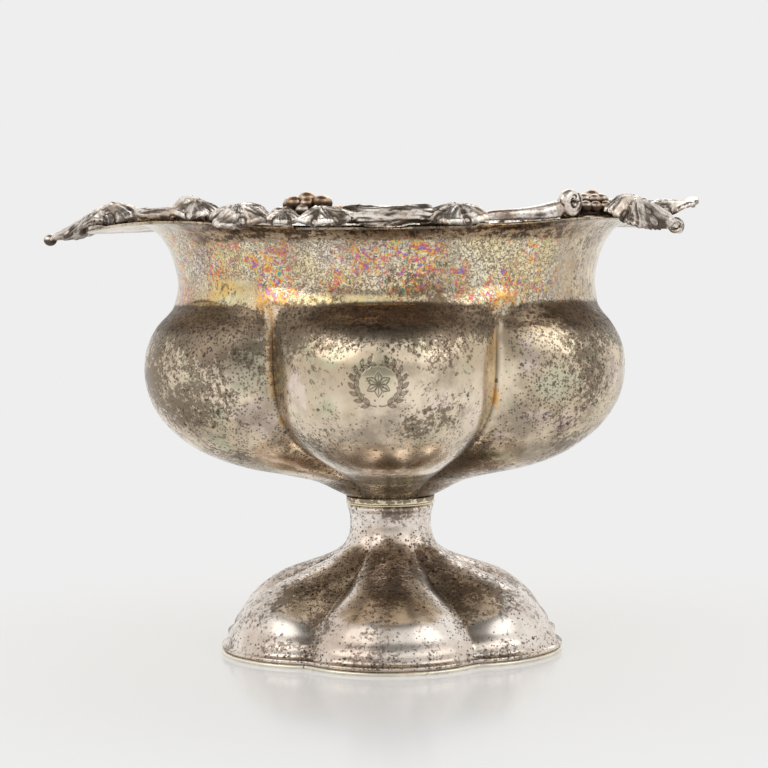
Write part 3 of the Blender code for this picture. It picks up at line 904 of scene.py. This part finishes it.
def rough(points, scale, octaves=3, shift=0.0):
    """Smooth irregular values, about -1 to 1, at points given in any unit."""
    flat = np.asarray(points, float).reshape(-1, 3) * scale + shift
    found = [noise.fractal(Vector(p), 1.0, 2.0, octaves) for p in flat]
    return np.array(found).reshape(np.shape(points)[:-1])


def leaf_outline(turn):
    points = 1 - 0.11 * (1 - np.cos(5 * turn))
    tip = 0.16 * np.maximum(0.0, np.cos(turn)) ** 5
    serrate = 0.020 * np.cos(35 * turn) + 0.012 * np.cos(20 * turn)
    return (points + tip) / 1.16 + serrate - 0.02


def leaf_relief(turn, share, seed):
    """Relief over a leaf's plain dome: swelling lobes, ribs, chased lines and eyes in the notches."""
    size = leaf_outline(turn) * share
    x, y = size * np.cos(turn), size * np.sin(turn)
    flat = np.stack([x, y, np.zeros_like(x)], -1)
    folds = 0.5 - 0.5 * np.cos(5 * turn)
    relief = -0.40 * share**1.2 * folds**3 + 0.10 * bell(share, 0.94, 0.045)
    relief += 0.30 * rough(flat, 1.3, 1, 10 + seed) + 0.05 * rough(flat, 4.0, 2, 30 + seed)
    for k in range(5):
        way = FULL * k / 5
        along = x * cos(way) + y * sin(way)
        across = -x * sin(way) + y * cos(way)
        across = across + 0.05 * np.sin(5 * along + k + seed)
        live = step(along, 0.0, 0.08) * step(along, 1.05, 0.85)
        relief += live * (0.16 * bell(across, 0.0, 0.028) - 0.12 * bell(across, 0.0, 0.075))
        chased = np.cos(34 * np.abs(across) + 4 * along) * step(np.abs(across), 0.05, 0.10)
        relief += 0.045 * live * chased * bell(across, 0.0, 0.24)
        notch = way + FULL / 10
        away = np.hypot(x - 0.58 * cos(notch), y - 0.58 * sin(notch))
        relief += 0.16 * bell(away, 0.12, 0.04) - 0.40 * bell(away, 0.0, 0.075)
    return relief


def leaf_points(turn, share, centre, span, inner, outer, heading, dome, seed, rise, hang, fine=True):
    """Points of a leaf. rise lifts its tip, and hang is the slope at which it falls beyond the lip's edge."""
    size = leaf_outline(turn) * share
    way = turn + radians(heading)
    angle = radians(centre) + radians(span / 2) * size * np.cos(way)
    reach = size * np.sin(way)
    radius = LIP_RADIUS + (inner + outer) / 2 + (outer - inner) / 2 * reach
    ruffle = 0.10 * dome * share**3 * (1 + np.cos(5 * turn))
    edge = lip_edge(angle)
    stand = np.minimum(seat(angle, radius), seat(angle, np.minimum(radius, edge)))
    lean = 0.16 + (outer - inner) / (100 * MM)
    height = stand + CAST + dome * (1 - share**2) ** 0.75 * (1 - lean * reach) + ruffle
    relief = leaf_relief(turn, share, seed) if fine else 0.0
    height = height + relief * dome * (0.25 + 0.60 * (1 - share**6))
    height = np.maximum(height, stand + 0.4 * CAST)
    over = np.maximum(0.0, radius - edge - 0.8 * MM)
    height = height - hang * over + rise * np.maximum(0.0, reach + 0.5) ** 1.3
    return around(radius, angle, height), relief


def make_leaf(seed, centre, span, inner, outer, heading, dome, rise, hang):
    """A cast leaf as one closed shell: its underside, its edge and its modelled top."""
    spokes, rings, under = 168, 44, 8
    turns = -np.linspace(0, FULL, spokes, endpoint=False)[None, :]
    place = (centre, span, inner * MM, outer * MM, heading, dome * MM, seed, rise * MM, hang)
    out_shares = np.linspace(0, 1, rings + 1)[:0:-1, None] ** 0.85
    top, relief = leaf_points(turns, out_shares, *place)
    peak, peak_relief = leaf_points(np.zeros(1), np.zeros(1), *place)
    below, _ = leaf_points(turns, np.linspace(1, 0, under + 1)[:-1, None], *place, fine=False)
    low, _ = leaf_points(np.zeros(1), np.zeros(1), *place, fine=False)
    below[..., 2] -= 1.4 * CAST
    low[..., 2] -= 1.4 * CAST
    below[0] = top[0] - (0.0, 0.0, CAST)
    points, quads, caps = closed(join(below[::-1], top), [low, peak])
    shown = 0.60 + 1.15 * relief.ravel()
    return points, quads, caps, join(np.full(below.size // 3, 0.45), shown, [0.42], 0.60 + 1.15 * peak_relief)


def ball(place, radii):
    """A berry or bead: a closed ball."""
    rows, sides = 14, 22
    down = np.linspace(pi, 0, rows + 2)[1:-1, None]
    turn = np.linspace(0, FULL, sides, endpoint=False)[None, :]
    unit = [np.sin(down) * np.cos(turn), np.sin(down) * np.sin(turn), np.cos(down) + 0 * turn]
    points, quads, caps = closed(np.stack(unit, -1), [[0, 0, -1], [0, 0, 1]])
    # Painted highlight and shade: the mark rises from the underside to the top, so each berry and bead comes
    # out bright on top and dark underneath; between packed berries the dark also stands for oxide.
    values = np.clip(0.36 + 0.55 * points[:, 2], 0, 1)
    return points * radii + np.asarray(place), quads, caps, values


def tube(path, radii, ridges, seed, sides=28):
    """A closed rod along a path, with bark-like ridges."""
    ridge_count, full_bark = 7, 0.08
    ahead = np.gradient(path, axis=0)
    ahead /= np.linalg.norm(ahead, axis=1, keepdims=True)
    up = np.array([0.0, 0.0, 1.0])
    side = np.cross(ahead, up)
    weak = np.linalg.norm(side, axis=1) < 0.2
    side[weak] = side[~weak][0] if (~weak).any() else (1, 0, 0)
    side /= np.linalg.norm(side, axis=1, keepdims=True)
    for k in range(1, len(side)):
        if side[k] @ side[k - 1] < 0:
            side[k] *= -1
    top = np.cross(side, ahead)
    turn = np.linspace(0, FULL, sides, endpoint=False)[None, :]
    length = np.linspace(0, 1, len(path))[:, None]
    flow = turn + 1.1 * np.sin(2.6 * length + seed) + 0.4 * np.sin(7.0 * length + 2 * seed)
    wound = np.stack(np.broadcast_arrays(1.6 * np.cos(flow), 1.6 * np.sin(flow), 2.2 * length + seed), -1)
    bark = 1.3 - 4.2 * np.abs(rough(wound, 1.0, 3)) + 0.25 * np.cos(ridge_count * flow)
    radius = radii[:, None, None] * (1 + ridges * bark)[..., None]
    out = np.cos(turn)[..., None] * side[:, None, :] + np.sin(turn)[..., None] * top[:, None, :]
    points, quads, caps = closed(path[:, None, :] + radius * out, path[[0, -1]])
    cover = min(1.0, ridges / full_bark)
    # Bark ridges come out bright and furrows dark; the last term is painted light, brighter along the top of
    # the rod and darker underneath.
    values = 0.52 - 0.10 * cover + 0.30 * cover * bark + 0.12 * np.sin(turn)
    return points, quads, caps, join(values.ravel(), [0.4, 0.4])


def add_shapes(name, shapes, finish, slot):
    """One piece of the border from several closed shapes."""
    firsts = np.cumsum([0] + [len(shape[0]) for shape in shapes])
    points, values = (join(*(shape[k] for shape in shapes)) for k in (0, 3))
    quads, caps = (join(*(shape[k] + first for shape, first in zip(shapes, firsts))) for k in (1, 2))
    add_piece(name, points, quads, caps, finish, {"relief": np.clip(values, 0, 1)}, slot, name)


def make_grapes(finish, name, centre, span, inner, outer, height):
    """Berries packed over a mound: one on top, then rings that step down to the lip."""
    inner, outer, height = inner * MM, outer * MM, height * MM
    middle, mean = radians(centre), LIP_RADIUS + (inner + outer) / 2
    half_length, half_width = radians(span / 2) * mean, (outer - inner) / 2
    turns = np.radians([-span / 2, 0, span / 2])
    floor = max(float(seat(middle + turn, mean + way * half_width)) for turn in turns for way in (-1, 0, 1))
    draws = np.random.default_rng(round(centre))
    shapes = []
    for ring, (share, count) in enumerate(((0.0, 1), (0.46, 7), (0.86, 12))):
        for k in range(count):
            turn = FULL * (k + 0.5 * ring) / count + draws.uniform(-0.12, 0.12)
            along = half_length * share * cos(turn)
            across = half_width * share * 1.05 * sin(turn)
            size = BERRY_RADIUS * draws.uniform(0.80, 0.98) * (1 - 0.10 * ring)
            lift = (height - 1.75 * BERRY_RADIUS) * (1 - share**2) + draws.uniform(-0.5, 0.5) * MM
            place = around(mean + across, middle + along / mean, floor + size * 0.72 + max(lift, 0.0))
            shapes.append(ball(place, (size, size, size * 0.86)))
    # The mound under the berries
    core, quads, caps, _ = ball((0, 0, 0), (half_length * 0.85, half_width * 0.85, 0.62 * height))
    core = around(mean + core[:, 1], middle + core[:, 0] / mean, floor + np.maximum(core[:, 2], 0.0))
    shapes.append((core, quads[:, ::-1], caps[:, ::-1], np.full(len(core), 0.05)))
    add_shapes(name, shapes, finish, "grape_silver")


def vine_path(start, end, first, last, radius, rows=70):
    t = np.linspace(0, 1, rows)
    angle = np.radians(start + (end - start) * t)
    out = LIP_RADIUS + (first + (last - first) * t) * MM + 0.12 * radius * np.sin(FULL * t)
    stand = seat(angle, np.minimum(out + radius, lip_edge(angle)))
    return around(out, angle, stand + radius - 0.8 * CAST_GAP)


def make_vines(finish):
    # Name, first and last angle, then the middle line's distance outside the lip at each end, the
    # radius and how deep the bark's ridges are
    thin = 0.85 * VINE_RADIUS
    stem, rod = (-1.6, -1.6, 0.94 * VINE_RADIUS, 0.085), (-0.4, 0.0, thin, 0.012)
    vines = (
        ("vine_front", -11.0, 10.4, *stem),
        ("vine_front_right", 22.0, 43.0, *rod),
        ("vine_right_back", 98.5, 123.0, -3.0, -3.0, thin, 0.085),
        ("vine_back", 169.0, 190.4, *stem),
        ("vine_back_left", 202.0, 223.0, *rod),
        ("vine_left_back", 256.2, 286.5, -2.5, -2.5, thin, 0.085),
        ("vine_left", 280.8, 303.6, 7.5, 0.5, thin, 0.040),
    )
    for number, (name, start, end, first, last, radius, ridges) in enumerate(vines):
        path = vine_path(start, end, first, last, radius)
        t = np.linspace(0, 1, len(path))
        ends = round_ends(t, 16)
        if ridges < 0.03:
            radii = radius * (0.70 + 0.62 * t**2) * ends
            path[:, 2] += radii - radius
        else:
            radii = radius * (1.0 + 0.10 * np.sin(9 * t + number)) * ends
        add_shapes(name, [tube(path, radii, ridges, number)], finish, "vine_silver")


def make_border():
    leaf = cast_finish("leaf_silver_cast", (0.98, 0.90, 0.82), (0.115, 0.088, 0.068), (0.70, 0.58, 0.48))
    grape = cast_finish("grape_silver_cast", (0.84, 0.74, 0.65), (0.085, 0.058, 0.042), (0.56, 0.37, 0.23))
    vine = cast_finish("vine_silver_cast", (0.97, 0.89, 0.81), (0.120, 0.092, 0.072), (0.66, 0.54, 0.45))
    make_vines(vine)
    for name, centre in (("tendril_right", 44.8), ("tendril_back_left", 224.8)):
        add_shapes(name, curl_shapes(centre), vine, "vine_silver")

    # Name, centre and span in degrees, inner and outer edge and heading as in the CAD part, then the
    # height of the dome, the tip's rise and the slope beyond the lip's edge
    small, shoulder = (19.0, -10.0, 7.6, -35.0, 6.0, 0.0, 0.60), (26.0, -10.0, 7.0, 180.0, 10.0, 0.0, 0.30)
    broad, curled = (22.0, -10.0, 9.5, 100.0, 7.0, 0.0, 0.60), (10.6, -4.0, 6.5, 90.0, 4.5, 0.0, 0.40)
    folded = (14.0, -4.0, 7.0, 0.0, 6.0, 0.0, 0.50)
    leaves = (
        ("leaf_front_right", 15.4, *small),
        ("leaf_right_front", 64.5, 28.0, -2.0, 30.5, 66.0, 8.0, 0.0, 0.45),
        ("leaf_right_back", 104.0, 28.0, 4.0, 52.0, 80.0, 8.0, 10.0, 0.0),
        ("leaf_back_shoulder", 127.6, *shoulder),
        ("leaf_back_right", 144.6, *broad),
        ("leaf_back_curled", 156.8, *curled),
        ("leaf_back_folded", 165.6, *folded),
        ("leaf_back_left", 195.4, *small),
        ("leaf_left_back", 249.8, 17.6, -8.0, 13.0, 0.0, 8.0, 0.0, 0.30),
        ("leaf_left_end", 270.0, 34.0, -1.0, 53.0, 90.0, 9.0, 0.0, 0.15),
        ("leaf_left_shoulder", 307.6, *shoulder),
        ("leaf_front_left", 324.6, *broad),
        ("leaf_front_curled", 336.8, *curled),
        ("leaf_front_folded", 345.6, *folded),
    )
    for number, (name, *sizes) in enumerate(leaves):
        shapes = [make_leaf(1.7 * number, *sizes)]
        if name == "leaf_left_end":
            shapes.append(tip_bead(270.0, 52.2 * MM, 3.3 * MM))
        if name == "leaf_right_front":
            shapes.append(rolled_tip(71.6, 28.2 * MM))
        add_shapes(name, shapes, leaf, "leaf_silver")

    # Name, centre and span, inner and outer edge, height
    near_curl, inside_leaves = (14.4, -10.0, 7.0, 13.5), (19.4, -16.0, -4.4, 14.5)
    clusters = (
        ("grapes_right", 56.2, *near_curl),
        ("grapes_right_end", 90.2, 17.0, -10.0, 1.2, 12.0),
        ("grapes_back", 160.0, *inside_leaves),
        ("grapes_back_left", 236.2, *near_curl),
        ("grapes_front_left", 340.0, *inside_leaves),
    )
    for row in clusters:
        make_grapes(grape, *row)


def tip_bead(centre, out, size):
    """The small bead that a leaf's tip is rolled into."""
    angle = radians(centre)
    radius = LIP_RADIUS + out
    return ball(around(radius, angle, seat(angle, radius) - 0.1 * size), (size, size, 0.9 * size))


def rolled_tip(centre, out):
    """A leaf's tip rolled into a short open scroll."""
    t = np.linspace(0, 1, 60)
    turn = radians(-60) + t * radians(400)
    reach = 3.5 * MM * (1 - 0.50 * t)
    angle, radius = radians(centre), LIP_RADIUS + out
    level = float(seat(angle, radius)) - 2.5 * MM
    path = around(radius + reach * np.cos(turn), angle + 0 * t, level + reach * np.sin(turn))
    path = path + np.outer(t - 0.5, around(0.0, angle + 1.2, 0.0) + 3.0 * MM * np.array([0.4, -0.9, 0.0]))
    return tube(path, 1.5 * MM * round_ends(t, 20), 0.05, centre, sides=20)


def curl_shapes(centre):
    """The rolled end of a vine: a thick rod that winds in on itself round an eye."""
    outer, rod = 5.5 * MM, 3.3 * MM
    angle = radians(centre)
    floor = float(seat(angle, LIP_RADIUS + 0.5 * MM))
    t = np.linspace(0, 1, 150)
    turn = radians(-130) + t * radians(520)
    reach = outer * (1 - 0.80 * t)
    along, up = -reach * np.sin(turn), -reach * np.cos(turn)
    middle = floor + GAP + outer + 0.6 * rod
    out = LIP_RADIUS + 0.5 * MM + 3.2 * MM * t
    path = around(out, angle + along / LIP_RADIUS, middle + up)
    radii = rod * (1.05 - 0.55 * t) * round_ends(t, 30)
    lobe = around(LIP_RADIUS - 3.0 * MM, angle + 0.045, floor + 5.2 * MM)
    return [tube(path, radii, 0.06, centre), ball(lobe, (6.0 * MM, 5.0 * MM, 6.6 * MM))]


add_camera()
add_world()
add_lights()
add_floor()
make_base_wire(trim_finish("wire_silver_pale", (0.96, 0.90, 0.76), (0.30, 0.24, 0.18), 0.5))
make_pedestal(foot_finish())
make_collar(trim_finish("collar_silver_pale", (0.92, 0.82, 0.60), (0.20, 0.15, 0.10), 0.8))
make_bowl(bowl_finish())
make_border()
